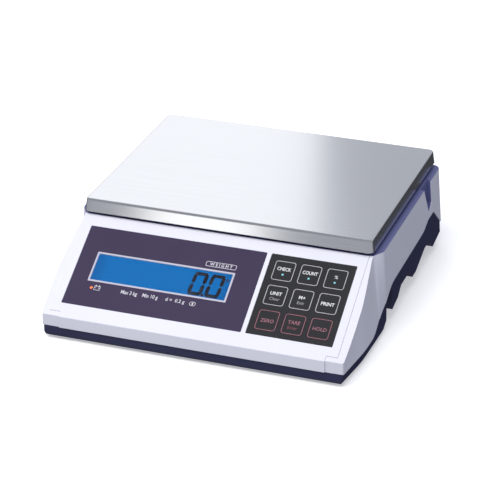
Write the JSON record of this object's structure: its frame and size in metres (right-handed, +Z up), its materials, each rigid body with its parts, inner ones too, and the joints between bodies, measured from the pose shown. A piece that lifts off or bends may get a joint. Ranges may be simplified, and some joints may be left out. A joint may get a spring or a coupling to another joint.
{
  "type": "counting scale",
  "caption": "Bench counting scale: flat stainless platter over a sloping front panel with a blue display and a square keypad, on a dark base with levelling feet.",
  "frame": {"origin": "on the table, under the middle of the whole scale", "axes": "+Z up, -Y towards the operator and the sloping panel, +X to the operator's right"},
  "size_m": [0.3302, 0.3512, 0.1087],
  "materials": {
    "white_abs": "fine moulded texture",
    "navy_abs": "fine moulded texture",
    "stainless": "fine brushed",
    "cast_aluminium": "as cast",
    "cell_aluminium": "machined",
    "black_rubber": "matt",
    "zinc_steel": "zinc plated",
    "display_film": "satin printed film",
    "key_film": "satin printed film",
    "light_grey_abs": "smooth",
    "clear_acrylic": "polished",
    "lcd_blue": "back-lit",
    "light_guide": "smooth",
    "circuit_board": "solder mask",
    "switch_black": "fine moulded texture",
    "component_black": "satin",
    "amber_lamp": "clear tinted",
    "battery_case": "fine moulded texture",
    "terminal_brass": "plain",
    "level_fluid": "clear tinted",
    "ribbon_grey": "flexible",
    "cable_black": "flexible",
    "wire_red": "flexible",
    "plate_metal": "satin anodised"
  },
  "bodies": {
    "case": {"upper_housing": "white_abs", "lower_base": "navy_abs", "load_cell": "cell_aluminium", "load_cell_base_spacer": "cell_aluminium", "load_cell_base_screws": "zinc_steel", "display_label": "display_film", "display_bezel": "light_grey_abs", "display_window": "clear_acrylic", "lcd_glass": "lcd_blue", "lcd_backlight": "light_guide", "display_board": "circuit_board", "display_board_screws": "zinc_steel", "keypad_overlay": "key_film", "key_switches": "switch_black", "charge_lamp": "amber_lamp", "main_board": "circuit_board", "main_board_parts": "component_black", "main_board_screws": "zinc_steel", "serial_port": "zinc_steel", "serial_port_nuts": "zinc_steel", "dc_jack": "switch_black", "power_switch_body": "switch_black", "battery": "battery_case", "battery_terminals": "terminal_brass", "battery_cover": "navy_abs", "battery_cover_screws": "zinc_steel", "level_vial_bezel": "light_grey_abs", "level_vial_glass": "level_fluid", "case_screws": "zinc_steel", "foot_inserts": "terminal_brass", "display_ribbon": "ribbon_grey", "load_cell_lead": "cable_black", "battery_leads": "wire_red", "rating_plate": "plate_metal"},
    "support": {"platter_support": "cast_aluminium", "platter_cushions": "black_rubber", "overload_stop_screws": "zinc_steel", "overload_stop_nuts": "zinc_steel", "load_cell_top_spacer": "cell_aluminium", "load_cell_top_screws": "zinc_steel"},
    "platter": {"platter": "stainless"},
    "power_rocker": {"power_rocker": "switch_black"},
    "key_check": {"key_check": "key_film"},
    "key_count": {"key_count": "key_film"},
    "key_percent": {"key_percent": "key_film"},
    "key_unit": {"key_unit": "key_film"},
    "key_memory": {"key_memory": "key_film"},
    "key_print": {"key_print": "key_film"},
    "key_zero": {"key_zero": "key_film"},
    "key_tare": {"key_tare": "key_film"},
    "key_hold": {"key_hold": "key_film"},
    "foot_front_left_pad": {"foot_front_left_pad": "black_rubber"},
    "foot_front_left_knob": {"foot_front_left_knob": "switch_black"},
    "foot_front_right_pad": {"foot_front_right_pad": "black_rubber"},
    "foot_front_right_knob": {"foot_front_right_knob": "switch_black"},
    "foot_rear_left_pad": {"foot_rear_left_pad": "black_rubber"},
    "foot_rear_left_knob": {"foot_rear_left_knob": "switch_black"},
    "foot_rear_right_pad": {"foot_rear_right_pad": "black_rubber"},
    "foot_rear_right_knob": {"foot_rear_right_knob": "switch_black"}
  },
  "joints": [
    {"name": "weighing_travel", "type": "slide", "parent": "case", "child": "support", "axis": [0, 0, -1], "range_m": [0, 0.0004], "stiffness_N_per_m": 200000, "springref_m": -0.00008},
    {"name": "platter_lift_off", "type": "slide", "parent": "support", "child": "platter", "axis": [0, 0, 1], "range_m": [0, 0.12]},
    {"name": "power_rocker_tilt", "type": "hinge", "parent": "case", "child": "power_rocker", "pos_m": [0.122, 0.16964, 0.06179], "axis": [1, 0, 0], "range_deg": [0, 18]},
    {"name": "key_check_press", "type": "slide", "parent": "case", "child": "key_check", "axis": [0, 0.5069, -0.862], "range_m": [0, 0.0005], "stiffness_N_per_m": 1500, "springref_m": -0.0003},
    {"name": "key_count_press", "type": "slide", "parent": "case", "child": "key_count", "axis": [0, 0.5069, -0.862], "range_m": [0, 0.0005], "stiffness_N_per_m": 1500, "springref_m": -0.0003},
    {"name": "key_percent_press", "type": "slide", "parent": "case", "child": "key_percent", "axis": [0, 0.5069, -0.862], "range_m": [0, 0.0005], "stiffness_N_per_m": 1500, "springref_m": -0.0003},
    {"name": "key_unit_press", "type": "slide", "parent": "case", "child": "key_unit", "axis": [0, 0.5069, -0.862], "range_m": [0, 0.0005], "stiffness_N_per_m": 1500, "springref_m": -0.0003},
    {"name": "key_memory_press", "type": "slide", "parent": "case", "child": "key_memory", "axis": [0, 0.5069, -0.862], "range_m": [0, 0.0005], "stiffness_N_per_m": 1500, "springref_m": -0.0003},
    {"name": "key_print_press", "type": "slide", "parent": "case", "child": "key_print", "axis": [0, 0.5069, -0.862], "range_m": [0, 0.0005], "stiffness_N_per_m": 1500, "springref_m": -0.0003},
    {"name": "key_zero_press", "type": "slide", "parent": "case", "child": "key_zero", "axis": [0, 0.5069, -0.862], "range_m": [0, 0.0005], "stiffness_N_per_m": 1500, "springref_m": -0.0003},
    {"name": "key_tare_press", "type": "slide", "parent": "case", "child": "key_tare", "axis": [0, 0.5069, -0.862], "range_m": [0, 0.0005], "stiffness_N_per_m": 1500, "springref_m": -0.0003},
    {"name": "key_hold_press", "type": "slide", "parent": "case", "child": "key_hold", "axis": [0, 0.5069, -0.862], "range_m": [0, 0.0005], "stiffness_N_per_m": 1500, "springref_m": -0.0003},
    {"name": "foot_front_left_raise", "type": "slide", "parent": "case", "child": "foot_front_left_pad", "axis": [0, 0, 1], "range_m": [0, 0.0035]},
    {"name": "foot_front_left_turn", "type": "hinge", "parent": "foot_front_left_pad", "child": "foot_front_left_knob", "pos_m": [-0.128, -0.14, 0], "axis": [0, 0, 1], "range_deg": [0, 1009]},
    {"name": "foot_front_right_raise", "type": "slide", "parent": "case", "child": "foot_front_right_pad", "axis": [0, 0, 1], "range_m": [0, 0.0035]},
    {"name": "foot_front_right_turn", "type": "hinge", "parent": "foot_front_right_pad", "child": "foot_front_right_knob", "pos_m": [0.128, -0.14, 0], "axis": [0, 0, 1], "range_deg": [0, 1009]},
    {"name": "foot_rear_left_raise", "type": "slide", "parent": "case", "child": "foot_rear_left_pad", "axis": [0, 0, 1], "range_m": [0, 0.0035]},
    {"name": "foot_rear_left_turn", "type": "hinge", "parent": "foot_rear_left_pad", "child": "foot_rear_left_knob", "pos_m": [-0.128, 0.14, 0], "axis": [0, 0, 1], "range_deg": [0, 1009]},
    {"name": "foot_rear_right_raise", "type": "slide", "parent": "case", "child": "foot_rear_right_pad", "axis": [0, 0, 1], "range_m": [0, 0.0035]},
    {"name": "foot_rear_right_turn", "type": "hinge", "parent": "foot_rear_right_pad", "child": "foot_rear_right_knob", "pos_m": [0.128, 0.14, 0], "axis": [0, 0, 1], "range_deg": [0, 1009]}
  ],
  "couplings": [
    {"joint": "foot_front_left_turn", "follows": "foot_front_left_raise", "rad_per_m": 5026.5},
    {"joint": "foot_front_right_turn", "follows": "foot_front_right_raise", "rad_per_m": 5026.5},
    {"joint": "foot_rear_left_turn", "follows": "foot_rear_left_raise", "rad_per_m": 5026.5},
    {"joint": "foot_rear_right_turn", "follows": "foot_rear_right_raise", "rad_per_m": 5026.5}
  ]
}
